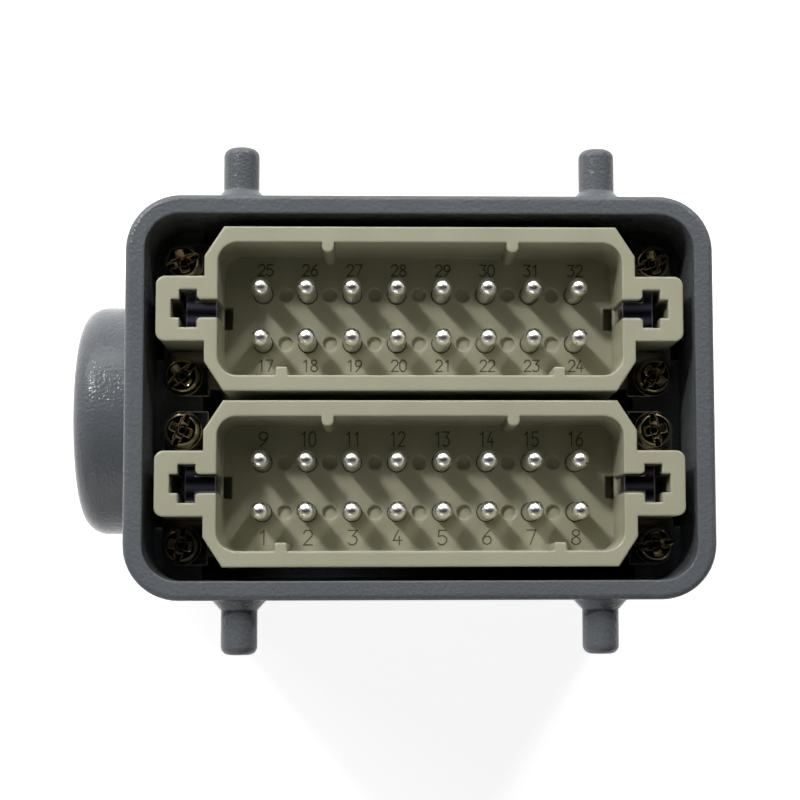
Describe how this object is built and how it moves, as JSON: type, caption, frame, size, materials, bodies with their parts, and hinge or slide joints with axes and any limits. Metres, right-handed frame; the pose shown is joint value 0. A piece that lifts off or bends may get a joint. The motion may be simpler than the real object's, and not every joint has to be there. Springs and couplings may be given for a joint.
{
  "type": "rectangular connector hood",
  "caption": "Box-shaped cable connector hood with locking pegs, a round side cable entry and two inserts of round contact pins.",
  "frame": {"origin": "centre of the hood's flat back face", "axes": "+Z out of the mating face, +X along the hood's long side away from the cable entry, +Y towards the insert with the higher contact numbers"},
  "size_m": [0.0902, 0.0694, 0.064],
  "materials": {
    "hood_paint": "grey powder coat with a fine orange-peel texture on die-cast aluminium",
    "insert_plastic": "light pebble grey glass-filled moulding, slightly satin",
    "silvered_contact": "silver plating on turned copper alloy, bright",
    "nickel_plate": "bright nickel plating on steel sheet",
    "nickel_blade": "nickel plating on a drawn brass section",
    "nickel_screw": "bright nickel plating on steel",
    "zinc_screw": "zinc plating on steel"
  },
  "bodies": {
    "root": {"hood": "hood_paint", "insert_1": "insert_plastic", "insert_2": "insert_plastic", "contact_01": "silvered_contact", "contact_02": "silvered_contact", "contact_03": "silvered_contact", "contact_04": "silvered_contact", "contact_05": "silvered_contact", "contact_06": "silvered_contact", "contact_07": "silvered_contact", "contact_08": "silvered_contact", "contact_09": "silvered_contact", "contact_10": "silvered_contact", "contact_11": "silvered_contact", "contact_12": "silvered_contact", "contact_13": "silvered_contact", "contact_14": "silvered_contact", "contact_15": "silvered_contact", "contact_16": "silvered_contact", "contact_17": "silvered_contact", "contact_18": "silvered_contact", "contact_19": "silvered_contact", "contact_20": "silvered_contact", "contact_21": "silvered_contact", "contact_22": "silvered_contact", "contact_23": "silvered_contact", "contact_24": "silvered_contact", "contact_25": "silvered_contact", "contact_26": "silvered_contact", "contact_27": "silvered_contact", "contact_28": "silvered_contact", "contact_29": "silvered_contact", "contact_30": "silvered_contact", "contact_31": "silvered_contact", "contact_32": "silvered_contact", "terminal_screws_1": "zinc_screw", "terminal_screws_2": "zinc_screw", "end_plate_1_left": "nickel_plate", "end_plate_1_right": "nickel_plate", "end_plate_2_left": "nickel_plate", "end_plate_2_right": "nickel_plate", "earth_contact_1_left": "nickel_blade", "earth_contact_1_right": "nickel_blade", "earth_contact_2_left": "nickel_blade", "earth_contact_2_right": "nickel_blade", "earth_screws_1": "zinc_screw", "earth_screws_2": "zinc_screw", "earth_clamps_1": "zinc_screw", "earth_clamps_2": "zinc_screw", "fixing_screws_1": "nickel_screw", "fixing_screws_2": "nickel_screw", "washers_1": "nickel_screw", "washers_2": "nickel_screw"}
  },
  "joints": []
}
